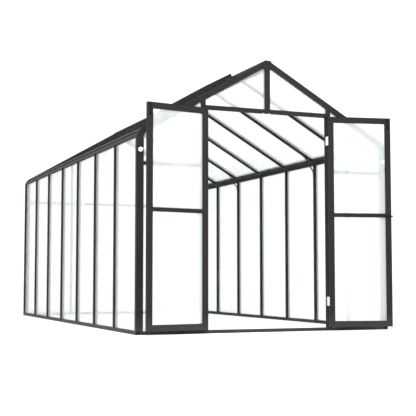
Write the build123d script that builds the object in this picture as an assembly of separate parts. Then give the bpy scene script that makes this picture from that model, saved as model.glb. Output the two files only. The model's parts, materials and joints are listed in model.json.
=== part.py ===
from build123d import *
import os
from math import cos, radians, sin, tan

# A walk-in gable greenhouse with double doors and two roof vents, millimetres.
# X runs across the width, +Y from the doors to the back gable, Z is up.
# The origin is on the ground at the centre of the footprint.

# Overall size
WIDTH = 2580
BAY = 700
BAYS = 7
LENGTH = BAYS * BAY
PITCH = 30
APEX = 2554

# Frame profiles
DEPTH = 42
WALL = 2
BASE_HEIGHT = 30
POST_WIDTH = 65
RAKE_WIDTH = 52
JAMB_WIDTH = 40
GABLE_POST_WIDTH = 50
TRANSOM_BOTTOM = 1505
TRANSOM_HEIGHT = 32
HEADER_BOTTOM = 2050
HEADER_HEIGHT = 31
BAR_WIDTH = 25
BAR_DEPTH = 45
BAR_WEB = 3
EAVE_BOTTOM = 1762
EAVE_RUN = 68
ELBOW_BOTTOM = 1700
ELBOW_RUN = 150
OUTER_RADIUS = 110
INNER_RADIUS = 60
CAP_HALF = 42
CAP_BOTTOM = 2470
CAP_TOP = 2547
BACK_POST_X = 643
BACK_RAIL_BOTTOM = 1508
BRACED_BARS = (2, 5)

# Twin-wall sheets
SHEET = 6
SLOT = 6.4
GLAZE = 17
SLOT_DEPTH = 10
BITE = 9

# Doors
DOORWAY_HALF = 630
DOOR_GAP = 3
MEETING_GAP = 4
DOOR_BOTTOM = 35
DOOR_TOP = 2046
DOOR_DEPTH = 32
DOOR_GLAZE = 13
STILE = 52
MID_RAIL_BOTTOM = 1085
MID_RAIL_HEIGHT = 30
LEFT_OPEN = 170.0
RIGHT_OPEN = 167.8

# Door hinges
HINGE_X = 628.5
HINGE_OUT = 7
HINGE_Z = (278, 1815)
HINGE_HEIGHT = 84
PIN_RADIUS = 3
RUNNING = 0.05
KNUCKLE_RADIUS = 5.5
LEAF = 1.2
LEAF_WIDTH = 28

# Door furniture
BOLT_RADIUS = 3.5
BOLT_DEPTH = 36.5
BOLT_HOLE_RADIUS = 4.3
BOLT_LOW = 1932
BOLT_HIGH = 2040
SPINDLE_RADIUS = 5
LATCH_Z = 1093
CATCH_X = 1256
CATCH_Z = 1640

# Roof vents
VENT_BAYS = {"left": 1, "right": 5}
VENT_TOP = 41
VENT_BOTTOM = 2
VENT_RAIL = 30
VENT_LAP = 5
VENT_END_X = 690
SILL_X = 605
VENT_PIN_X = 48.5
VENT_PIN_Z = 2530
VENT_KNUCKLE = 5
STAY_BACK = 110
STAY_N = 8
STAY_LENGTH = 250

# Ground anchors
ANCHOR_X = 1258
ANCHOR_Y = 2100
ANCHOR_RADIUS = 5

HALF_WIDTH = WIDTH / 2
HALF_LENGTH = LENGTH / 2
FRONT = -HALF_LENGTH
COS = cos(radians(PITCH))
SIN = sin(radians(PITCH))
SLOPE = tan(radians(PITCH))
UP_SLOPE = (COS, 0, SIN)
INWARD = (SIN, 0, -COS)
CORNER_Z = APEX - HALF_WIDTH * SLOPE
HEADER_TOP = HEADER_BOTTOM + HEADER_HEIGHT
TRANSOM_TOP = TRANSOM_BOTTOM + TRANSOM_HEIGHT
BACK_RAIL_TOP = BACK_RAIL_BOTTOM + BAR_WIDTH
BACK_POST_HALF = BAR_WIDTH / 2
POST_INNER = HALF_WIDTH - POST_WIDTH
JAMB_OUTER = DOORWAY_HALF + JAMB_WIDTH
DOOR_OUTER = -DOORWAY_HALF + DOOR_GAP
DOOR_FREE = -MEETING_GAP / 2
BOLT_X = DOOR_FREE - STILE / 2
STAY_U = VENT_END_X / COS - VENT_RAIL - STAY_BACK


def roof_z(x, below=0.0):
    """Height of the line that lies `below` under the roof's outer surface."""
    return APEX - abs(x) * SLOPE - below / COS


def block(x0, x1, y0, y1, z0, z1):
    centre = Pos((x0 + x1) / 2, (y0 + y1) / 2, (z0 + z1) / 2)
    return centre * Box(abs(x1 - x0), abs(y1 - y0), abs(z1 - z0))


def rod(radius, start, direction, length):
    plane = Plane(origin=start, z_dir=direction)
    base = (Align.CENTER, Align.CENTER, Align.MIN)
    return plane * Cylinder(radius, length, align=base)


def plate(points, y0, thickness):
    """A flat plate with an outline in X and Z, from y0 towards +Y."""
    outline = Polyline([(x, y0, z) for x, z in points], close=True)
    return extrude(make_face(outline), amount=thickness, dir=(0, 1, 0))


def section(width, depth, glaze, slots):
    """Profile with two chambers and a web that holds the sheets' slots."""
    outline = Pos(0, depth / 2) * Rectangle(width, depth)
    front = glaze - 2 * WALL
    back_start = glaze + SLOT + WALL
    back = depth - WALL - back_start
    outline -= Pos(0, WALL + front / 2) * Rectangle(width - 2 * WALL, front)
    outline -= Pos(0, back_start + back / 2) * Rectangle(width - 2 * WALL, back)
    slot_depth = min(SLOT_DEPTH, (width - BAR_WEB) / 2)
    for side, sign in (("l", -1), ("r", 1)):
        if side in slots:
            x = sign * (width - slot_depth) / 2
            outline -= Pos(x, glaze + SLOT / 2) * Rectangle(slot_depth, SLOT)
    return outline


def member(length, width, depth, slots, origin, across, along, glaze=GLAZE):
    """A straight profile: its outer face starts at origin, its width runs across."""
    plane = Plane(origin=origin, x_dir=across, z_dir=along)
    return plane * extrude(section(width, depth, glaze, slots), amount=length)


def slope_box(u0, u1, y0, y1, n0, n1):
    """A box on the left slope: u down from the apex, n out from the surface."""
    plane = Plane(origin=(0, 0, APEX), x_dir=(-COS, 0, -SIN), z_dir=(-SIN, 0, COS))
    centre = Pos((u0 + u1) / 2, -(y0 + y1) / 2, (n0 + n1) / 2)
    return plane * centre * Box(abs(u1 - u0), abs(y1 - y0), abs(n1 - n0))


def slope_point(u, y, n):
    return (-u * COS - n * SIN, y, APEX - u * SIN + n * COS)


def flip_x(parts):
    return [mirror(part, about=Plane.YZ) for part in parts]


def flip_y(parts):
    return [mirror(part, about=Plane.XZ) for part in parts]


def save(name, parts):
    solids = [solid for part in parts for solid in part.solids()]
    export_step(Compound(children=solids), f"parts/{name}.step")


# Sheets

def wall_sheet(bay, grow=0.0):
    y0 = FRONT + bay * BAY + BAR_WIDTH / 2 - BITE
    y1 = FRONT + (bay + 1) * BAY - BAR_WIDTH / 2 + BITE
    if bay == 0:
        y0 = FRONT + DEPTH - BITE
    if bay == BAYS - 1:
        y1 = -FRONT - DEPTH + BITE
    x0 = -HALF_WIDTH + GLAZE + (SLOT - SHEET) / 2
    return block(
        x0 - grow / 2, x0 + SHEET + grow / 2,
        y0 - grow, y1 + grow,
        BASE_HEIGHT - BITE - grow, EAVE_BOTTOM + BITE + grow,
    )


def roof_sheet(bay, grow=0.0, top_x=CAP_HALF):
    y0 = FRONT + bay * BAY + BAR_WIDTH / 2 - BITE
    y1 = FRONT + (bay + 1) * BAY - BAR_WIDTH / 2 + BITE
    if bay == 0:
        y0 = FRONT + DEPTH - BITE
    if bay == BAYS - 1:
        y1 = -FRONT - DEPTH + BITE
    eave_u = HALF_WIDTH / COS - EAVE_RUN
    n1 = -GLAZE - (SLOT - SHEET) / 2
    return slope_box(
        top_x / COS - BITE - grow, eave_u + BITE + grow,
        y0 - grow, y1 + grow,
        n1 - SHEET - grow / 2, n1 + grow / 2,
    )


def gable_outline(x0, x1, z0, z1=None, bite=BITE):
    """Outline of a gable sheet between |x0| and |x1|; its top follows the rake."""
    outer, inner, low = x0 - bite, x1 + bite, z0 - bite
    if z1 is not None:
        return [(outer, low), (inner, low), (inner, z1 + bite), (outer, z1 + bite)]
    below = RAKE_WIDTH - bite
    if -inner > CAP_HALF:
        top = [(inner, roof_z(inner, below)), (outer, roof_z(outer, below))]
    else:
        ceiling = CAP_BOTTOM + bite
        knee = -(APEX - below / COS - ceiling) / SLOPE
        top = [(inner, ceiling), (knee, ceiling), (outer, roof_z(outer, below))]
    return [(outer, low), (inner, low)] + top


def gable_sheets(outlines, y_face=FRONT, thickness=SHEET):
    y0 = y_face + GLAZE + (SLOT - thickness) / 2
    return [plate(outline, y0, thickness) for outline in outlines]


def front_outlines(bite=BITE):
    """Left half of the front gable: lower, upper and the pane over the doors."""
    return [
        gable_outline(-POST_INNER, -JAMB_OUTER, BASE_HEIGHT, TRANSOM_BOTTOM, bite),
        gable_outline(-POST_INNER, -JAMB_OUTER, TRANSOM_TOP, None, bite),
        gable_outline(-DOORWAY_HALF, -GABLE_POST_WIDTH / 2, HEADER_TOP, None, bite),
    ]


def back_outlines(bite=BITE):
    """Left half of the back gable, built at the front and mirrored later."""
    bay_edges = (
        (-POST_INNER, -BACK_POST_X - BACK_POST_HALF),
        (-BACK_POST_X + BACK_POST_HALF, -BACK_POST_HALF),
    )
    outlines = []
    for x0, x1 in bay_edges:
        outlines.append(gable_outline(x0, x1, BASE_HEIGHT, BACK_RAIL_BOTTOM, bite))
        outlines.append(gable_outline(x0, x1, BACK_RAIL_TOP, None, bite))
    return outlines


def slots_for(outlines):
    return gable_sheets(outlines, thickness=SLOT)


# Frame

def side_base_rail():
    rail = member(
        LENGTH, BASE_HEIGHT, DEPTH, "r",
        (-HALF_WIDTH, FRONT, BASE_HEIGHT / 2), (0, 0, 1), (0, 1, 0),
    )
    for y in (-ANCHOR_Y, ANCHOR_Y):
        rail -= rod(ANCHOR_RADIUS, (-ANCHOR_X, y, -1), (0, 0, 1), BASE_HEIGHT + 2)
    return rail


def end_base_rail(slots):
    start = (-HALF_WIDTH + DEPTH, FRONT, BASE_HEIGHT / 2)
    length = WIDTH - 2 * DEPTH
    return member(length, BASE_HEIGHT, DEPTH, slots, start, (0, 0, -1), (1, 0, 0))


def corner_post():
    post = member(
        ELBOW_BOTTOM - BASE_HEIGHT, POST_WIDTH, DEPTH, "r",
        (-HALF_WIDTH + POST_WIDTH / 2, FRONT, BASE_HEIGHT), (1, 0, 0), (0, 0, 1),
    )
    return post - wall_sheet(0, grow=0.4)


def elbow(outlines):
    """The rounded corner that joins a post to its rake."""
    run = Vector(*UP_SLOPE) * ELBOW_RUN
    inner_run = Vector(*INWARD) * RAKE_WIDTH
    points = [
        (-HALF_WIDTH, ELBOW_BOTTOM),
        (-HALF_WIDTH, CORNER_Z),
        (-HALF_WIDTH + run.X, CORNER_Z + run.Z),
        (-HALF_WIDTH + run.X + inner_run.X, CORNER_Z + run.Z + inner_run.Z),
        (-POST_INNER, roof_z(POST_INNER, RAKE_WIDTH)),
        (-POST_INNER, ELBOW_BOTTOM),
    ]
    body = plate(points, FRONT, DEPTH)
    edges = body.edges().filter_by(Axis.Y)
    outer = edges.sort_by_distance((-HALF_WIDTH, FRONT, CORNER_Z))[0]
    body = fillet(outer, OUTER_RADIUS)
    edges = body.edges().filter_by(Axis.Y)
    inner = edges.sort_by_distance((-POST_INNER, FRONT, roof_z(POST_INNER, RAKE_WIDTH)))[0]
    body = fillet(inner, INNER_RADIUS)
    for slot in slots_for(outlines):
        body -= slot
    body -= wall_sheet(0, grow=0.4)
    body -= roof_sheet(0, grow=0.4)
    return body


def rake(outlines):
    start = Vector(-HALF_WIDTH, FRONT, CORNER_Z) + Vector(*UP_SLOPE) * ELBOW_RUN
    start += Vector(*INWARD) * (RAKE_WIDTH / 2)
    bar = member(HALF_WIDTH / COS, RAKE_WIDTH, DEPTH, "r", start, INWARD, UP_SLOPE)
    bar -= block(-CAP_HALF, HALF_WIDTH, FRONT - 1, FRONT + DEPTH + 1, 0, 2 * APEX)
    bar -= roof_sheet(0, grow=0.4)
    for slot in slots_for(outlines):
        bar -= slot
    return bar


def cap_outline(shrink=0.0):
    half, shoulder = CAP_HALF - shrink, 28 - shrink
    return [
        (-half, CAP_BOTTOM), (half, CAP_BOTTOM), (half, roof_z(CAP_HALF)),
        (shoulder, CAP_TOP - shrink), (-shoulder, CAP_TOP - shrink),
        (-half, roof_z(CAP_HALF)),
    ]


def ridge_end_cap(outlines):
    cap = plate(cap_outline(), FRONT - 3, DEPTH + 3)
    cuts = slots_for(outlines) + [roof_sheet(0, grow=0.4)]
    for cut in cuts + flip_x(cuts):
        cap -= cut
    return cap


def ridge_beam():
    length = LENGTH - 2 * DEPTH
    beam = plate(cap_outline(), FRONT + DEPTH, length)
    for z0, z1, half in ((2474, 2498, 36), (2516, 2541, 24)):
        beam -= block(-half, half, FRONT, -FRONT, z0, z1)
    n1 = -GLAZE
    groove = slope_box(
        CAP_HALF / COS - SLOT_DEPTH, CAP_HALF / COS + 20, FRONT, -FRONT, n1 - SLOT, n1
    )
    return beam - groove - mirror(groove, about=Plane.YZ)


def eave_beam():
    run = Vector(*UP_SLOPE) * EAVE_RUN
    inner = -HALF_WIDTH + BAR_DEPTH
    points = [
        (-HALF_WIDTH, ELBOW_BOTTOM - 50),
        (-HALF_WIDTH, CORNER_Z),
        (-HALF_WIDTH + run.X, CORNER_Z + run.Z),
        (-HALF_WIDTH + run.X + BAR_DEPTH * SIN, CORNER_Z + run.Z - BAR_DEPTH * COS),
        (inner, roof_z(inner, BAR_DEPTH)),
        (inner, ELBOW_BOTTOM - 50),
    ]
    y0 = FRONT + DEPTH
    beam = plate(points, y0, LENGTH - 2 * DEPTH)
    edges = beam.edges().filter_by(Axis.Y)
    corner = edges.sort_by_distance((-HALF_WIDTH, y0, CORNER_Z))[0]
    beam = fillet(corner, OUTER_RADIUS)
    beam -= block(-HALF_WIDTH - 1, inner + 1, FRONT, -FRONT, 0, EAVE_BOTTOM)
    x0 = -HALF_WIDTH + GLAZE
    beam -= block(x0, x0 + SLOT, FRONT, -FRONT, 0, EAVE_BOTTOM + SLOT_DEPTH)
    eave_u = HALF_WIDTH / COS - EAVE_RUN
    beam -= slope_box(eave_u - 5, eave_u + SLOT_DEPTH, FRONT, -FRONT, -GLAZE - SLOT, -GLAZE)
    chamber = rod(12, (-HALF_WIDTH + 25, FRONT, CORNER_Z - 9), (0, 1, 0), LENGTH)
    return beam - chamber


def wall_bars():
    bars = []
    for i in range(1, BAYS):
        origin = (-HALF_WIDTH, FRONT + i * BAY, BASE_HEIGHT)
        height = EAVE_BOTTOM - BASE_HEIGHT
        bars.append(
            member(height, BAR_WIDTH, BAR_DEPTH, "lr", origin, (0, -1, 0), (0, 0, 1))
        )
    return bars


def roof_bars():
    bars = []
    start = Vector(-HALF_WIDTH, 0, CORNER_Z) + Vector(*UP_SLOPE) * EAVE_RUN
    ridge_cut = block(-CAP_HALF, HALF_WIDTH, FRONT, -FRONT, 0, 2 * APEX)
    for i in range(1, BAYS):
        origin = start + Vector(0, FRONT + i * BAY, 0)
        bar = member(
            HALF_WIDTH / COS, BAR_WIDTH, BAR_DEPTH, "lr", origin, (0, -1, 0), UP_SLOPE
        )
        bars.append(bar - ridge_cut)
    return bars


def under_rake(part):
    """Trims the top of a gable member to the underside of the rakes."""
    far = 2 * HALF_WIDTH
    above = [(-far, roof_z(far, RAKE_WIDTH)), (0, roof_z(0, RAKE_WIDTH)),
             (far, roof_z(far, RAKE_WIDTH)), (far, 2 * APEX), (-far, 2 * APEX)]
    return part - plate(above, FRONT - 1, DEPTH + 2)


def door_jamb():
    x = -DOORWAY_HALF - JAMB_WIDTH / 2
    jamb = member(
        APEX, JAMB_WIDTH, DEPTH, "l", (x, FRONT, BASE_HEIGHT), (1, 0, 0), (0, 0, 1)
    )
    return under_rake(jamb) - slots_for(front_outlines(SLOT_DEPTH))[2]


def bolt_holes():
    holes = []
    for x in (-MEETING_GAP / 2 - STILE / 2, MEETING_GAP / 2 + STILE / 2):
        start = (x, FRONT + BOLT_DEPTH, HEADER_BOTTOM - 10)
        holes.append(rod(BOLT_HOLE_RADIUS, start, (0, 0, 1), 34))
    return holes


def door_header():
    header = member(
        2 * DOORWAY_HALF, HEADER_HEIGHT, DEPTH, "l",
        (-DOORWAY_HALF, FRONT, HEADER_BOTTOM + HEADER_HEIGHT / 2), (0, 0, -1), (1, 0, 0),
    )
    for hole in bolt_holes():
        header -= hole
    return header


def gable_post():
    return member(
        CAP_BOTTOM - HEADER_TOP, GABLE_POST_WIDTH, DEPTH, "lr",
        (0, FRONT, HEADER_TOP), (1, 0, 0), (0, 0, 1),
    )


def transom():
    start = (-POST_INNER, FRONT, TRANSOM_BOTTOM + TRANSOM_HEIGHT / 2)
    length = POST_INNER - JAMB_OUTER
    return member(length, TRANSOM_HEIGHT, DEPTH, "lr", start, (0, 0, -1), (1, 0, 0))


def back_posts():
    """Three posts, built at the front and mirrored to the back."""
    outer = member(
        APEX, BAR_WIDTH, DEPTH, "lr", (-BACK_POST_X, FRONT, BASE_HEIGHT),
        (1, 0, 0), (0, 0, 1),
    )
    outer = under_rake(outer)
    centre = member(
        CAP_BOTTOM - BASE_HEIGHT, BAR_WIDTH, DEPTH, "lr", (0, FRONT, BASE_HEIGHT),
        (1, 0, 0), (0, 0, 1),
    )
    return [outer, mirror(outer, about=Plane.YZ), centre]


def back_mid_rails():
    z = BACK_RAIL_BOTTOM + BAR_WIDTH / 2
    spans = (
        (-POST_INNER, -BACK_POST_X - BACK_POST_HALF),
        (-BACK_POST_X + BACK_POST_HALF, -BACK_POST_HALF),
    )
    rails = [
        member(x1 - x0, BAR_WIDTH, DEPTH, "lr", (x0, FRONT, z), (0, 0, -1), (1, 0, 0))
        for x0, x1 in spans
    ]
    return rails + flip_x(rails)


def knee_brace(y):
    """A bent strap from a wall bar to the roof bar above it."""
    half, thick = 12, 4
    inner = -HALF_WIDTH + BAR_DEPTH
    low = Vector(inner, y, 1685)
    high = Vector(-1140, y, roof_z(1140, BAR_DEPTH))
    wall_tab = block(inner, inner + thick, y - half, y + half, 1655, 1690)
    u = 1140 / COS + BAR_DEPTH * SLOPE
    roof_tab = slope_box(u - 30, u + 6, y - half, y + half, -BAR_DEPTH - thick, -BAR_DEPTH)
    run = high - low
    plane = Plane(origin=low, x_dir=(0, 1, 0), z_dir=run)
    base = (Align.CENTER, Align.MAX, Align.MIN)
    bar = plane * Box(2 * half, thick, run.length, align=base)
    strap = bar + wall_tab + roof_tab
    keep_out = block(-HALF_WIDTH, inner, y - 20, y + 20, 1600, 1900)
    keep_out += slope_box(u - 200, u + 200, y - 20, y + 20, -BAR_DEPTH, 0)
    return strap - keep_out


def vent_sill(bay):
    y0 = FRONT + bay * BAY + BAR_WIDTH / 2
    origin = slope_point(SILL_X / COS, y0, 0)
    return member(
        BAY - BAR_WIDTH, BAR_WIDTH, BAR_DEPTH, "l", origin, UP_SLOPE, (0, 1, 0)
    )


# Roof vents

def vent_span(bay):
    return FRONT + bay * BAY - VENT_LAP, FRONT + (bay + 1) * BAY + VENT_LAP


def vent_pin_line():
    """Slope coordinates of the vent's hinge pin."""
    u = VENT_PIN_X / COS + (VENT_PIN_Z - roof_z(VENT_PIN_X)) * SIN
    n = (VENT_PIN_Z - roof_z(VENT_PIN_X)) * COS
    return u, n


def vent_start_u():
    return vent_pin_line()[0] + 8


def vent_frame(bay):
    y0, y1 = vent_span(bay)
    u0, u1 = vent_start_u(), VENT_END_X / COS
    depth = VENT_TOP - VENT_BOTTOM
    rails = []
    for y, slots in ((y0 + VENT_RAIL / 2, "l"), (y1 - VENT_RAIL / 2, "r")):
        origin = slope_point(u1, y, VENT_TOP)
        rails.append(
            member(u1 - u0, VENT_RAIL, depth, slots, origin, (0, -1, 0), UP_SLOPE)
        )
    length = y1 - y0 - 2 * VENT_RAIL
    for u, slots in ((u0 + VENT_RAIL / 2, "l"), (u1 - VENT_RAIL / 2, "r")):
        origin = slope_point(u, y0 + VENT_RAIL, VENT_TOP)
        rails.append(member(length, VENT_RAIL, depth, slots, origin, UP_SLOPE, (0, 1, 0)))
    return rails + vent_moving_leaves(bay)


def vent_sheet(bay):
    y0, y1 = vent_span(bay)
    edge = VENT_RAIL - BITE
    n1 = VENT_TOP - GLAZE - (SLOT - SHEET) / 2
    u0, u1 = vent_start_u() + edge, VENT_END_X / COS - edge
    return slope_box(u0, u1, y0 + edge, y1 - edge, n1 - SHEET, n1)


def vent_hinge_places(bay):
    y0, y1 = vent_span(bay)
    return y0 + 130, y1 - 130


def vent_fixed_leaves(bay):
    leaves = []
    for y in vent_hinge_places(bay):
        leaf = block(-CAP_HALF - 3, -CAP_HALF, y - 30, y + 30, 2498, VENT_PIN_Z - 6.5)
        for y0, y1 in ((y - 30, y - 11.5), (y + 11.5, y + 30)):
            leaf += block(-CAP_HALF - 3, -CAP_HALF, y0, y1, 2498, VENT_PIN_Z)
            start = (-VENT_PIN_X, y0, VENT_PIN_Z)
            leaf += rod(VENT_KNUCKLE, start, (0, 1, 0), y1 - y0)
        start = (-VENT_PIN_X, y - 40, VENT_PIN_Z)
        leaf -= rod(PIN_RADIUS, start, (0, 1, 0), 80)
        leaves.append(leaf)
    return leaves


def vent_moving_leaves(bay):
    leaves = []
    pin_u, pin_n = vent_pin_line()
    for y in vent_hinge_places(bay):
        start_u = vent_start_u()
        leaf = slope_box(start_u - 2, start_u, y - 30, y + 30, VENT_BOTTOM, 30)
        leaf += slope_box(pin_u, start_u, y - 11, y + 11, pin_n - 2, pin_n + 2)
        start = (-VENT_PIN_X, y - 11, VENT_PIN_Z)
        leaf += rod(VENT_KNUCKLE, start, (0, 1, 0), 22)
        start = (-VENT_PIN_X, y - 40, VENT_PIN_Z)
        leaf -= rod(PIN_RADIUS + RUNNING, start, (0, 1, 0), 80)
        leaves.append(leaf)
    return leaves


def vent_pins(bay):
    places = vent_hinge_places(bay)
    return [rod(PIN_RADIUS, (-VENT_PIN_X, y - 33, VENT_PIN_Z), (0, 1, 0), 66) for y in places]


def vent_bracket(bay):
    """Two ears under the vent's bottom rail that hold the stay's pivot."""
    y = FRONT + (bay + 0.5) * BAY
    u_rail = VENT_END_X / COS - VENT_RAIL
    foot = slope_box(u_rail - 3, u_rail, y - 12, y + 12, VENT_BOTTOM, 17)
    for side in (-1, 1):
        ear = slope_box(
            STAY_U - 7, u_rail, y + side * 5, y + side * 8, VENT_BOTTOM + 1, 14
        )
        foot += ear
    foot -= rod(PIN_RADIUS, slope_point(STAY_U, y - 20, STAY_N), (0, 1, 0), 40)
    pin = rod(PIN_RADIUS, slope_point(STAY_U, y - 9, STAY_N), (0, 1, 0), 18)
    return [foot, pin]


def vent_stay(bay):
    """A perforated stay, stored pointing up the slope under the vent."""
    y = FRONT + (bay + 0.5) * BAY
    top = STAY_U - STAY_LENGTH
    strap = slope_box(top, STAY_U, y - 3, y + 3, STAY_N - 5, STAY_N + 5)
    strap += rod(5, slope_point(STAY_U, y - 3, STAY_N), (0, 1, 0), 6)
    strap += rod(5, slope_point(top, y - 3, STAY_N), (0, 1, 0), 6)
    bore = rod(PIN_RADIUS + RUNNING, slope_point(STAY_U, y - 5, STAY_N), (0, 1, 0), 10)
    strap -= bore
    for step in range(1, 8):
        place = slope_point(STAY_U - 30 * step, y - 5, STAY_N)
        strap -= rod(3.2, place, (0, 1, 0), 10)
    return strap


# Doors: each part is drawn closed, on the left, then swung open about its pin

def swing_left(parts):
    axis = Axis((-HINGE_X, FRONT - HINGE_OUT, 0), (0, 0, 1))
    return [part.rotate(axis, -LEFT_OPEN) for part in parts]


def swing_right(parts):
    axis = Axis((HINGE_X, FRONT - HINGE_OUT, 0), (0, 0, 1))
    return [part.rotate(axis, RIGHT_OPEN) for part in flip_x(parts)]


def door_member(length, width, slots, origin, across, along):
    return member(length, width, DOOR_DEPTH, slots, origin, across, along, DOOR_GLAZE)


def door_stiles(latch):
    height = DOOR_TOP - DOOR_BOTTOM
    stiles = []
    for x, slots in ((DOOR_OUTER + STILE / 2, "r"), (DOOR_FREE - STILE / 2, "l")):
        origin = (x, FRONT, DOOR_BOTTOM)
        stiles.append(door_member(height, STILE, slots, origin, (1, 0, 0), (0, 0, 1)))
    if latch:
        start = (DOOR_FREE - STILE / 2, FRONT - 1, LATCH_Z)
        stiles[1] -= rod(SPINDLE_RADIUS + RUNNING, start, (0, 1, 0), DOOR_DEPTH + 2)
    return stiles


def door_rails():
    x0, x1 = DOOR_OUTER + STILE, DOOR_FREE - STILE
    rows = (
        (DOOR_BOTTOM + STILE / 2, STILE, "l"),
        (MID_RAIL_BOTTOM + MID_RAIL_HEIGHT / 2, MID_RAIL_HEIGHT, "lr"),
        (DOOR_TOP - STILE / 2, STILE, "r"),
    )
    return [
        door_member(x1 - x0, width, slots, (x0, FRONT, z), (0, 0, -1), (1, 0, 0))
        for z, width, slots in rows
    ]


def door_panes():
    x0, x1 = DOOR_OUTER + STILE - BITE, DOOR_FREE - STILE + BITE
    y0 = FRONT + DOOR_GLAZE + (SLOT - SHEET) / 2
    rows = (
        (DOOR_BOTTOM + STILE - BITE, MID_RAIL_BOTTOM + BITE),
        (MID_RAIL_BOTTOM + MID_RAIL_HEIGHT - BITE, DOOR_TOP - STILE + BITE),
    )
    return [block(x0, x1, y0, y0 + SHEET, z0, z1) for z0, z1 in rows]


def hinge_leaf(z, face_x, side, segments, bore):
    """One leaf: a plate on face_x, with knuckles over the given segments."""
    half = HINGE_HEIGHT / 2
    leaf = block(
        face_x, face_x + side * LEAF, FRONT - 0.5, FRONT + LEAF_WIDTH, z - half, z + half
    )
    pin_y = FRONT - HINGE_OUT
    for z0, z1 in segments:
        leaf += block(face_x, face_x + side * LEAF, pin_y, FRONT, z + z0, z + z1)
        leaf += rod(KNUCKLE_RADIUS, (-HINGE_X, pin_y, z + z0), (0, 0, 1), z1 - z0)
    leaf -= rod(bore, (-HINGE_X, pin_y, z - half - 1), (0, 0, 1), HINGE_HEIGHT + 2)
    return leaf


def jamb_leaves():
    segments = ((-42, -14.5), (14.5, 42))
    return [hinge_leaf(z, -DOORWAY_HALF, 1, segments, PIN_RADIUS) for z in HINGE_Z]


def door_leaves():
    bore = PIN_RADIUS + RUNNING
    return [hinge_leaf(z, DOOR_OUTER, -1, ((-14, 14),), bore) for z in HINGE_Z]


def door_pins():
    pin_y = FRONT - HINGE_OUT
    half = HINGE_HEIGHT / 2 + 2
    pins = []
    for z in HINGE_Z:
        pins.append(rod(PIN_RADIUS, (-HINGE_X, pin_y, z - half), (0, 0, 1), 2 * half))
    return pins


def bolt_guides():
    """Two saddles on the inner face of the meeting stile."""
    y0 = FRONT + DOOR_DEPTH
    guides = []
    for z in (BOLT_LOW + 8, BOLT_HIGH - 24):
        saddle = block(BOLT_X - 9, BOLT_X + 9, y0, y0 + 10, z, z + 16)
        start = (BOLT_X, FRONT + BOLT_DEPTH, z - 1)
        guides.append(saddle - rod(BOLT_RADIUS + RUNNING, start, (0, 0, 1), 18))
    return guides


def bolt_rod():
    y = FRONT + BOLT_DEPTH
    length = BOLT_HIGH - BOLT_LOW
    bar = rod(BOLT_RADIUS, (BOLT_X, y, BOLT_LOW), (0, 0, 1), length)
    return bar + rod(3.2, (BOLT_X, y, BOLT_LOW + 40), (0, 1, 0), 14)


def latch_handle():
    """Spindle, inner turn lever with its tongue, and outer lever."""
    inner = FRONT + DOOR_DEPTH
    start = (BOLT_X, FRONT - 12, LATCH_Z)
    body = rod(SPINDLE_RADIUS, start, (0, 1, 0), DOOR_DEPTH + 12 + 10)
    body += rod(11, (BOLT_X, inner + 1, LATCH_Z), (0, 1, 0), 5)
    body += rod(11, (BOLT_X, FRONT - 12, LATCH_Z), (0, 1, 0), 6)
    z0, z1 = LATCH_Z - 7, LATCH_Z + 7
    body += block(BOLT_X, DOOR_FREE + 14, inner + 1, inner + 4, z0, z1)
    body += block(BOLT_X - 62, BOLT_X, inner + 3, inner + 8, z0, z1)
    body += block(BOLT_X - 80, BOLT_X, FRONT - 12, FRONT - 7, z0, z1)
    return body


def door_seals():
    """Rubber stops behind the doors, notched for the bolts."""
    y0, y1 = FRONT + DOOR_DEPTH + 1, FRONT + DEPTH - 1
    side = block(-DOORWAY_HALF, -DOORWAY_HALF + 6, y0, y1, BASE_HEIGHT, HEADER_BOTTOM)
    top = block(
        -DOORWAY_HALF + 6, DOORWAY_HALF - 6, y0, y1, HEADER_BOTTOM - 6, HEADER_BOTTOM
    )
    for x in (BOLT_X, -BOLT_X):
        top -= block(x - 12, x + 12, y0 - 1, y1 + 1, HEADER_BOTTOM - 8, HEADER_BOTTOM)
    return [side, mirror(side, about=Plane.YZ), top]


def holdback_catch():
    """A round base on the corner post with an arm that grips the open door."""
    base = rod(20, (-CATCH_X, FRONT, CATCH_Z), (0, -1, 0), 10)
    base += rod(9, (-CATCH_X, FRONT, CATCH_Z), (0, -1, 0), 22)
    base += rod(2.5, (-CATCH_X, FRONT, CATCH_Z), (0, -1, 0), 140)
    return base + Pos(-CATCH_X, FRONT - 142, CATCH_Z) * Sphere(5)


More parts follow.
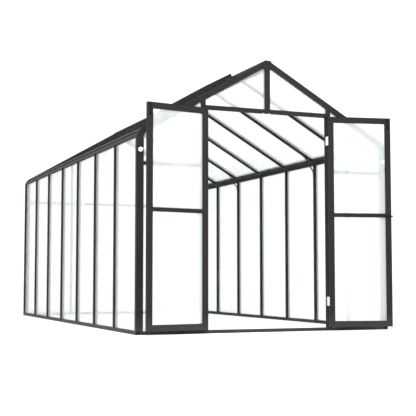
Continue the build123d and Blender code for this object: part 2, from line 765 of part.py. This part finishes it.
def build():
    os.makedirs("parts", exist_ok=True)
    front = front_outlines()
    front_slots = front_outlines(SLOT_DEPTH)
    back_slots = back_outlines(SLOT_DEPTH)
    rail = side_base_rail()
    save("base_rail_left", [rail])
    save("base_rail_right", flip_x([rail]))
    threshold = end_base_rail("")
    low_slot = slots_for(front_slots)[0]
    threshold = threshold - low_slot - mirror(low_slot, about=Plane.YZ)
    save("base_rail_front", [threshold])
    save("base_rail_back", flip_y([end_base_rail("l")]))

    post = corner_post()
    save("corner_post_front_left", [post])
    save("corner_post_front_right", flip_x([post]))
    save("corner_post_back_left", flip_y([post]))
    save("corner_post_back_right", flip_x(flip_y([post])))
    front_elbow = elbow(front_slots)
    back_elbow = elbow(back_slots)
    elbows = [front_elbow] + flip_y([back_elbow])
    save("eave_elbows", elbows + flip_x(elbows))
    front_rake = rake(front_slots)
    back_rake = rake(back_slots)
    save("rakes_front", [front_rake] + flip_x([front_rake]))
    save("rakes_back", flip_y([back_rake] + flip_x([back_rake])))
    front_cap = ridge_end_cap(front_slots)
    back_cap = ridge_end_cap(back_slots)
    save("ridge_end_caps", [front_cap] + flip_y([back_cap]))
    save("ridge_beam", [ridge_beam()])
    eave = eave_beam()
    save("eave_beam_left", [eave])
    save("eave_beam_right", flip_x([eave]))

    jamb = door_jamb()
    save("door_jamb_left", [jamb])
    save("door_jamb_right", flip_x([jamb]))
    save("door_header", [door_header()])
    save("gable_post_front", [gable_post()])
    save("transoms_front", [transom()] + flip_x([transom()]))
    save("back_posts", flip_y(back_posts()))
    save("back_mid_rails", flip_y(back_mid_rails()))

    bars = wall_bars()
    save("wall_bars_left", bars)
    save("wall_bars_right", flip_x(bars))
    bars = roof_bars()
    save("roof_bars_left", bars)
    save("roof_bars_right", flip_x(bars))
    braces = [knee_brace(FRONT + i * BAY) for i in BRACED_BARS]
    save("knee_braces", braces + flip_x(braces))

    sheets = [wall_sheet(bay) for bay in range(BAYS)]
    save("wall_panels_left", sheets)
    save("wall_panels_right", flip_x(sheets))
    halves = gable_sheets(front)
    save("front_panels", halves + flip_x(halves))
    halves = gable_sheets(back_outlines())
    save("back_panels", flip_y(halves + flip_x(halves)))

    sills, fixed_leaves, pins = [], [], door_pins() + flip_x(door_pins())
    for side, bay in VENT_BAYS.items():
        place = flip_x if side == "right" else list
        lower_top = SILL_X + BAR_WIDTH / 2 * COS
        sheets = [
            roof_sheet(i, top_x=lower_top if i == bay else CAP_HALF) for i in range(BAYS)
        ]
        save(f"roof_panels_{side}", place(sheets))
        sills += place([vent_sill(bay)])
        fixed_leaves += place(vent_fixed_leaves(bay))
        pins += place(vent_pins(bay))
        save(f"vent_{side}_frame", place(vent_frame(bay) + vent_bracket(bay)))
        save(f"vent_{side}_panel", place([vent_sheet(bay)]))
        save(f"vent_{side}_stay", place([vent_stay(bay)]))
    save("vent_sills", sills)
    save("vent_hinge_leaves", fixed_leaves)
    save("hinge_pins", pins)
    save("jamb_hinge_leaves", jamb_leaves() + flip_x(jamb_leaves()))
    save("door_seals", door_seals())
    save("holdback_catches", [holdback_catch()] + flip_x([holdback_catch()]))

    for side, swing in (("left", swing_left), ("right", swing_right)):
        save(f"door_{side}_stiles", swing(door_stiles(latch=side == "right")))
        save(f"door_{side}_rails", swing(door_rails()))
        save(f"door_{side}_panes", swing(door_panes()))
        save(f"door_{side}_hinge_leaves", swing(door_leaves()))
        save(f"door_{side}_bolt_guides", swing(bolt_guides()))
        save(f"door_{side}_bolt", swing([bolt_rod()]))
    save("latch_handle", swing_right([latch_handle()]))


build()
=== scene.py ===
import json
import math

import bpy
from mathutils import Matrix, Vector


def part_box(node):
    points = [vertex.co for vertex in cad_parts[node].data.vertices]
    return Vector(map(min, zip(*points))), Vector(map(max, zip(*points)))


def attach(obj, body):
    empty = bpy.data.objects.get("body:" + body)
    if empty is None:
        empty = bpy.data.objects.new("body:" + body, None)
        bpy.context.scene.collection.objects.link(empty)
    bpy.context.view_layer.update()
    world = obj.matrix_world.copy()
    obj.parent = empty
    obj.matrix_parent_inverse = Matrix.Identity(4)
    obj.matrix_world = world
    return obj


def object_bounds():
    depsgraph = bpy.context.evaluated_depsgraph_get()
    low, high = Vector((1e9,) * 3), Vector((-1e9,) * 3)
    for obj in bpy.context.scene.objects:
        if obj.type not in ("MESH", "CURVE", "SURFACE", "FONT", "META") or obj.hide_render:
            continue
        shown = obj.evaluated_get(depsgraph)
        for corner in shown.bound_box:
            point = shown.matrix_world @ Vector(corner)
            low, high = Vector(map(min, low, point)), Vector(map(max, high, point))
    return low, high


# A walk-in greenhouse with double doors. Metres, in the CAD part's own frame.

CAMERA_PLACE = (-3.9034, -10.4934, 0.5009)
CAMERA_YAW = 22.279
CAMERA_PITCH = 4.168
CAMERA_LENS = 82.87

FLUTE_PITCH = 0.006        # spacing of the ribs inside the twin-wall sheets
BITE = 0.009               # how far a sheet's edge sits in its slot
PAINT_DEPTH = 0.26         # the paint's own tone, as a share of the lit tone in the record
GASKET_PROFILE = ((0.0, 0.0), (0.0, 0.0012), (0.0012, 0.0020), (0.0034, 0.0014), (0.0045, 0.0))
HEAD_RADIUS = 0.0065
HEAD_HEIGHT = 0.0024
HEAD_SIDES = 24

UP = Vector((0, 0, 1))
ALONG = Vector((0, 1, 0))

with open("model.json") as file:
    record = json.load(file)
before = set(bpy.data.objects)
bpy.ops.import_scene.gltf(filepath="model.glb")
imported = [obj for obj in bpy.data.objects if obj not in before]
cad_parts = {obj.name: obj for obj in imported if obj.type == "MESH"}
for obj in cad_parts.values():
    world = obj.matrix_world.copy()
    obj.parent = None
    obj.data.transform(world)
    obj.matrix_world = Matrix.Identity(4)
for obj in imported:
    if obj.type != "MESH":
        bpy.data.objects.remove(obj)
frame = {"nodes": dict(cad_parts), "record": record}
cad_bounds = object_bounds()
nodes = frame["nodes"]
colours = {m["slot"]: m["base_color"] for m in frame["record"]["materials"]}


# Materials

class Surface:
    """A node material with short calls to add and join its nodes."""

    def __init__(self, name):
        self.material = bpy.data.materials.new(name)
        self.material.use_nodes = True
        self.tree = self.material.node_tree
        self.tree.nodes.clear()
        self.output = self.add("ShaderNodeOutputMaterial")
        coordinates = self.add("ShaderNodeTexCoord")
        self.place = coordinates.outputs["Object"]
        self.normal = coordinates.outputs["Normal"]

    def add(self, kind, **settings):
        node = self.tree.nodes.new(kind)
        for key, value in settings.items():
            setattr(node, key, value)
        return node

    def feed(self, socket, value):
        if isinstance(value, bpy.types.NodeSocket):
            self.tree.links.new(value, socket)
        else:
            socket.default_value = value

    def math(self, operation, first, second=0.0):
        node = self.add("ShaderNodeMath", operation=operation)
        self.feed(node.inputs[0], first)
        self.feed(node.inputs[1], second)
        return node.outputs[0]

    def noise(self, scale, detail, stretch=(1, 1, 1)):
        mapping = self.add("ShaderNodeMapping")
        mapping.inputs["Scale"].default_value = stretch
        self.feed(mapping.inputs["Vector"], self.place)
        node = self.add("ShaderNodeTexNoise")
        self.feed(node.inputs["Vector"], mapping.outputs[0])
        node.inputs["Scale"].default_value = scale
        node.inputs["Detail"].default_value = detail
        return node.outputs["Fac"]

    def spread(self, value, low, high, start=0.3, end=0.7):
        """Maps value from start..end to low..high."""
        node = self.add("ShaderNodeMapRange")
        self.feed(node.inputs["Value"], value)
        node.inputs["From Min"].default_value = start
        node.inputs["From Max"].default_value = end
        node.inputs["To Min"].default_value = low
        node.inputs["To Max"].default_value = high
        return node.outputs[0]

    def blend(self, amount, first, second):
        node = self.add("ShaderNodeMix", data_type="RGBA")
        self.feed(node.inputs[0], amount)
        self.feed(node.inputs[6], first)
        self.feed(node.inputs[7], second)
        return node.outputs[2]

    def bump(self, height, strength, distance):
        node = self.add("ShaderNodeBump")
        node.inputs["Strength"].default_value = strength
        node.inputs["Distance"].default_value = distance
        self.feed(node.inputs["Height"], height)
        return node

    def finish(self, shader):
        self.feed(self.output.inputs["Surface"], shader)
        return self.material


def tint(colour, share):
    return tuple(min(1.0, part * share) for part in colour[:3]) + (1.0,)


def powder_coat(name, colour, roughness, edge_highlight_share):
    """Fine orange-peel paint, faintly uneven in tone, with a painted highlight along its edges, and dusty
    near the ground.
    """
    s = Surface(name)
    peel = s.noise(700, 2)
    cloud = s.noise(2.5, 4)
    soft_edges = s.add("ShaderNodeBevel", samples=4)
    soft_edges.inputs["Radius"].default_value = 0.0015
    geometry = s.add("ShaderNodeNewGeometry")
    facing = s.add("ShaderNodeVectorMath", operation="DOT_PRODUCT")
    s.feed(facing.inputs[0], soft_edges.outputs[0])
    s.feed(facing.inputs[1], geometry.outputs["Normal"])
    # Painted highlight: where the bevelled normal turns away from the face normal, along the edges, the
    # paint is lightened, broken up by noise.
    edge = s.spread(facing.outputs["Value"], edge_highlight_share, 0.0, 0.75, 0.98)
    edge_highlight = s.math("MULTIPLY", edge, s.spread(s.noise(60, 3), 0.2, 1.0))
    height = s.add("ShaderNodeSeparateXYZ")
    s.feed(height.inputs[0], s.place)
    dust = s.spread(height.outputs["Z"], 0.06, 0.0, 0.0, 0.18)
    deep = tint(colour, 0.88 * PAINT_DEPTH)
    light = tint(colour, 1.12 * PAINT_DEPTH)
    paint = s.blend(s.spread(cloud, 0.0, 1.0), deep, light)
    # The painted edge highlight: a lighter tone of the paint blended in along the edges.
    paint = s.blend(edge_highlight, paint, tint(colour, 1.4))
    paint = s.blend(dust, paint, (0.35, 0.33, 0.30, 1.0))
    grain = s.bump(peel, 0.12, 0.0004)
    s.feed(grain.inputs["Normal"], soft_edges.outputs[0])
    shader = s.add("ShaderNodeBsdfPrincipled")
    s.feed(shader.inputs["Base Color"], paint)
    s.feed(shader.inputs["Roughness"], s.spread(cloud, roughness - 0.05, roughness + 0.05))
    s.feed(shader.inputs["Normal"], grain.outputs[0])
    shader.inputs["Specular IOR Level"].default_value = 0.1
    return s.finish(shader.outputs[0])


def twin_wall(name, colour, haze):
    """A fluted sheet: light passes, thinned by milky skins, with upright ribs and soft broad bands."""
    s = Surface(name)
    where = s.add("ShaderNodeSeparateXYZ")
    s.feed(where.inputs[0], s.place)
    facing = s.add("ShaderNodeSeparateXYZ")
    s.feed(facing.inputs[0], s.normal)
    sideways = s.math("ABSOLUTE", facing.outputs["X"])
    endways = s.math("ABSOLUTE", facing.outputs["Y"])
    is_side = s.math("GREATER_THAN", sideways, endways)
    is_end = s.math("SUBTRACT", 1.0, is_side)
    along = s.math(
        "ADD",
        s.math("MULTIPLY", where.outputs["Y"], is_side),
        s.math("MULTIPLY", where.outputs["X"], is_end),
    )
    flute = s.math("PINGPONG", along, FLUTE_PITCH / 2)
    rib = s.math("LESS_THAN", flute, FLUTE_PITCH * 0.06)
    bands = s.spread(s.noise(1.0, 2, (5, 5, 0.3)), -0.05, 0.05)
    amount = s.math("ADD", s.math("ADD", haze, bands), s.math("MULTIPLY", rib, 0.15))
    clear = s.add("ShaderNodeBsdfTransparent")
    clear.inputs["Color"].default_value = tint(colour, 1.04)
    skin = s.add("ShaderNodeBsdfDiffuse")
    skin.inputs["Color"].default_value = tint(colour, 1.04)
    glow = s.add("ShaderNodeBsdfTranslucent")
    glow.inputs["Color"].default_value = tint(colour, 1.04)
    milk = s.add("ShaderNodeMixShader")
    milk.inputs[0].default_value = 0.5
    s.feed(milk.inputs[1], skin.outputs[0])
    s.feed(milk.inputs[2], glow.outputs[0])
    body = s.add("ShaderNodeMixShader")
    s.feed(body.inputs[0], amount)
    s.feed(body.inputs[1], clear.outputs[0])
    s.feed(body.inputs[2], milk.outputs[0])
    gloss = s.add("ShaderNodeBsdfGlossy")
    gloss.inputs["Roughness"].default_value = 0.14
    s.feed(gloss.inputs["Normal"], s.bump(flute, 0.15, 0.001).outputs[0])
    fresnel = s.add("ShaderNodeFresnel")
    fresnel.inputs["IOR"].default_value = 1.3
    final = s.add("ShaderNodeMixShader")
    s.feed(final.inputs[0], s.math("MULTIPLY", fresnel.outputs[0], 0.35))
    s.feed(final.inputs[1], body.outputs[0])
    s.feed(final.inputs[2], gloss.outputs[0])
    return s.finish(final.outputs[0])


def bare_metal(name, colour, roughness):
    """Brushed metal with fine lines along its height and faint smudges."""
    s = Surface(name)
    lines = s.noise(60, 3, (40, 40, 1))
    smudge = s.noise(18, 3)
    shader = s.add("ShaderNodeBsdfPrincipled")
    metal = s.blend(s.spread(lines, 0.0, 1.0), tint(colour, 0.82), tint(colour, 1.05))
    s.feed(shader.inputs["Base Color"], metal)
    shader.inputs["Metallic"].default_value = 1.0
    s.feed(shader.inputs["Roughness"], s.spread(smudge, roughness - 0.08, roughness + 0.08))
    s.feed(shader.inputs["Normal"], s.bump(lines, 0.15, 0.0003).outputs[0])
    return s.finish(shader.outputs[0])


def moulded(name, colour, roughness, grain_scale):
    """Moulded rubber or nylon with a fine grain and a slightly uneven tone."""
    s = Surface(name)
    grain = s.noise(grain_scale, 3)
    cloud = s.noise(25, 3)
    shader = s.add("ShaderNodeBsdfPrincipled")
    tone = s.blend(s.spread(cloud, 0.0, 1.0), tint(colour, 0.93), tint(colour, 1.04))
    s.feed(shader.inputs["Base Color"], tone)
    s.feed(shader.inputs["Roughness"], s.spread(cloud, roughness - 0.06, roughness + 0.06))
    s.feed(shader.inputs["Normal"], s.bump(grain, 0.2, 0.0004).outputs[0])
    return s.finish(shader.outputs[0])


def make_materials():
    return {
        "frame_powder": powder_coat("charcoal_powder", colours["frame_powder"], 0.5, 0.3),
        "hardware_black": powder_coat("black_hardware", colours["hardware_black"], 0.4, 0.6),
        "glazing": twin_wall("clear_twin_wall", colours["glazing"], 0.27),
        "door_glazing": twin_wall("milky_twin_wall", colours["door_glazing"], 0.33),
        "hinge_metal": bare_metal("bright_anodised", colours["hinge_metal"], 0.35),
        "pin_steel": bare_metal("satin_steel", colours["pin_steel"], 0.3),
        "seal_rubber": moulded("matt_rubber", colours["seal_rubber"], 0.8, 900),
        "catch_plastic": moulded("white_nylon", colours["catch_plastic"], 0.5, 500),
    }


def dress_cad(materials):
    """Gives each CAD node the finish of its own material slot."""
    for node in nodes.values():
        for holder in node.material_slots:
            holder.material = materials[holder.material.name.split(".")[0]]


# Extra pieces

def build_piece(name, points, faces, material_slot, body, materials):
    mesh = bpy.data.meshes.new(name)
    mesh.from_pydata([tuple(p) for p in points], [], faces)
    mesh.update()
    piece = bpy.data.objects.new(name, mesh)
    bpy.context.scene.collection.objects.link(piece)
    mesh.materials.append(materials[material_slot])
    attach(piece, body)
    return piece


def islands(node):
    """The separate solids of a CAD node, each as a list of its vertices."""
    mesh = nodes[node].data
    group = {}
    merged = {}
    for vertex in mesh.vertices:
        key = tuple(round(c, 5) for c in vertex.co)
        group[vertex.index] = merged.setdefault(key, vertex.index)
    parent = {index: index for index in merged.values()}

    def root(index):
        while parent[index] != index:
            index = parent[index]
        return index

    for edge in mesh.edges:
        first, second = (root(group[v]) for v in edge.vertices)
        parent[first] = second
    found = {}
    for index in parent:
        found.setdefault(root(index), []).append(mesh.vertices[index].co.copy())
    return list(found.values())


def add_ring(points, faces, centre, u, v, normal, half_u, half_v):
    """A mitred gasket bead round a rectangle, standing off a sheet along normal."""
    start = len(points)
    corners = ((-1, -1), (1, -1), (1, 1), (-1, 1))
    for inset, rise in GASKET_PROFILE:
        for side_u, side_v in corners:
            offset = u * side_u * (half_u - inset) + v * side_v * (half_v - inset)
            points.append(centre + offset + normal * rise)
    for row in range(len(GASKET_PROFILE) - 1):
        for corner in range(4):
            following = (corner + 1) % 4
            a = start + row * 4 + corner
            b = start + row * 4 + following
            faces.append((a, b, b + 4, a + 4))


def gaskets(node, u, v, body, materials):
    """Rubber beads on both faces of every rectangular sheet of a node. u and v lie in the sheet."""
    normal = u.cross(v).normalized()
    points = []
    faces = []
    for solid in islands(node):
        spans = []
        for axis in (u, v, normal):
            places = [p.dot(axis) for p in solid]
            spans.append((min(places), max(places)))
        middle = [(low + high) / 2 for low, high in spans]
        half = [(high - low) / 2 for low, high in spans]
        centre = u * middle[0] + v * middle[1] + normal * middle[2]
        for side in (-1, 1):
            face_centre = centre + normal * side * half[2]
            add_ring(points, faces, face_centre, u, v, normal * side, half[0] - BITE, half[1] - BITE)
    build_piece(f"gaskets_{node}", points, faces, "seal_rubber", body, materials)


def add_head(points, faces, centre, normal):
    """A domed screw head with a hexagon socket."""
    side = normal.orthogonal().normalized()
    other = normal.cross(side)
    start = len(points)
    rings = (
        (1.0, 0.0, False),
        (0.97, 0.45, False),
        (0.72, 0.95, False),
        (0.48, 1.0, True),
        (0.48, 0.4, True),
    )
    for share, rise, hexagon in rings:
        for step in range(HEAD_SIDES):
            turn = 2 * math.pi * step / HEAD_SIDES
            reach = HEAD_RADIUS * share
            if hexagon:
                reach *= math.cos(math.pi / 6) / math.cos((turn % (math.pi / 3)) - math.pi / 6)
            offset = side * math.cos(turn) * reach + other * math.sin(turn) * reach
            points.append(centre + offset + normal * rise * HEAD_HEIGHT)
    for ring in range(len(rings) - 1):
        for step in range(HEAD_SIDES):
            following = (step + 1) % HEAD_SIDES
            a = start + ring * HEAD_SIDES + step
            b = start + ring * HEAD_SIDES + following
            faces.append((a, b, b + HEAD_SIDES, a + HEAD_SIDES))
    last = start + (len(rings) - 1) * HEAD_SIDES
    faces.append(tuple(range(last, last + HEAD_SIDES)))


def screws(name, places, normal, body, materials):
    points = []
    faces = []
    for place in places:
        add_head(points, faces, Vector(place), normal)
    build_piece(name, points, faces, "hardware_black", body, materials)


def gable_screws(materials):
    """Screws through the gable posts into the ends of the rails, on the outer faces."""
    header_low, header_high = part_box("door_header")
    jamb_low, jamb_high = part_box("door_jamb_right")
    post_low, post_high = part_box("corner_post_front_right")
    transom_low, transom_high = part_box("transoms_front")
    mid_low, mid_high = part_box("back_mid_rails")
    back_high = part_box("corner_post_back_right")[1]
    jamb_x = (jamb_low.x + jamb_high.x) / 2
    post_x = (post_low.x + post_high.x) / 2
    header_z = (header_low.z + header_high.z) / 2
    transom_z = (transom_low.z + transom_high.z) / 2
    mid_z = (mid_low.z + mid_high.z) / 2
    foot_z = post_low.z + 0.04
    front = []
    back = []
    for side in (-1, 1):
        front += [(side * jamb_x, jamb_low.y, z) for z in (foot_z, transom_z, header_z)]
        front += [(side * post_x, post_low.y, z) for z in (foot_z, transom_z)]
        back += [(side * post_x, back_high.y, z) for z in (foot_z, mid_z)]
    screws("screws_front_gable", front, -ALONG, "frame", materials)
    screws("screws_back_gable", back, ALONG, "frame", materials)


def door_screws(side, u, materials):
    """Screws at the corners of a door, on both faces of its stiles."""
    normal = u.cross(UP).normalized()
    rails = islands(f"door_{side}_rails")
    heights = [(min(p.z for p in rail) + max(p.z for p in rail)) / 2 for rail in rails]
    for facing, label in ((normal, "outer"), (-normal, "inner")):
        places = []
        for stile in islands(f"door_{side}_stiles"):
            middle_u = (min(p.dot(u) for p in stile) + max(p.dot(u) for p in stile)) / 2
            surface = max(p.dot(facing) for p in stile)
            places += [u * middle_u + facing * surface + UP * z for z in heights]
        screws(f"screws_door_{side}_{label}", places, facing, f"door_{side}", materials)


def door_direction(side):
    """The horizontal direction across an open door, from one stile to the other."""
    first, second = islands(f"door_{side}_stiles")
    gap = sum(second, Vector()) / len(second) - sum(first, Vector()) / len(first)
    gap.z = 0
    return gap.normalized()


def add_details(materials):
    for side in ("left", "right"):
        u = door_direction(side)
        gaskets(f"door_{side}_panes", u, UP, f"door_{side}", materials)
        door_screws(side, u, materials)
        gaskets(f"wall_panels_{side}", ALONG, UP, "frame", materials)
    gable_screws(materials)


# Studio

def studio_floor():
    """A pale floor, faintly uneven."""
    mesh = bpy.data.meshes.new("studio_floor")
    reach = 60
    z = cad_bounds[0].z
    corners = [(-reach, -reach, z), (reach, -reach, z), (reach, reach, z), (-reach, reach, z)]
    mesh.from_pydata(corners, [], [(0, 1, 2, 3)])
    floor = bpy.data.objects.new("studio_floor", mesh)
    bpy.context.scene.collection.objects.link(floor)
    s = Surface("pale_floor")
    shader = s.add("ShaderNodeBsdfDiffuse")
    tone = s.blend(s.noise(0.6, 3), (0.93, 0.93, 0.93, 1), (0.97, 0.97, 0.97, 1))
    s.feed(shader.inputs["Color"], tone)
    mesh.materials.append(s.finish(shader.outputs[0]))


def studio_light(name, place, target, size, power):
    lamp = bpy.data.lights.new(name, "AREA")
    lamp.size = size
    lamp.energy = power
    light = bpy.data.objects.new(name, lamp)
    light.location = place
    light.rotation_euler = (Vector(target) - Vector(place)).to_track_quat("-Z", "Y").to_euler()
    bpy.context.scene.collection.objects.link(light)


def studio():
    scene = bpy.context.scene
    scene.view_settings.view_transform = "Standard"
    world = bpy.data.worlds.new("studio")
    world.use_nodes = True
    world.node_tree.nodes["Background"].inputs["Color"].default_value = (1, 1, 1, 1)
    world.node_tree.nodes["Background"].inputs["Strength"].default_value = 1.2
    scene.world = world
    middle = (0, 0, 1.2)
    studio_light("key", (-4, -9, 6), middle, 5, 800)
    studio_light("fill", (7, -6, 5), middle, 6, 250)


def camera():
    data = bpy.data.cameras.new("camera")
    data.lens = CAMERA_LENS
    data.sensor_width = 36
    data.dof.use_dof = False
    view = bpy.data.objects.new("camera", data)
    view.location = CAMERA_PLACE
    view.rotation_euler = (math.radians(90 + CAMERA_PITCH), 0, -math.radians(CAMERA_YAW))
    bpy.context.scene.collection.objects.link(view)
    bpy.context.scene.camera = view


materials = make_materials()
dress_cad(materials)
add_details(materials)
studio_floor()
studio()
camera()
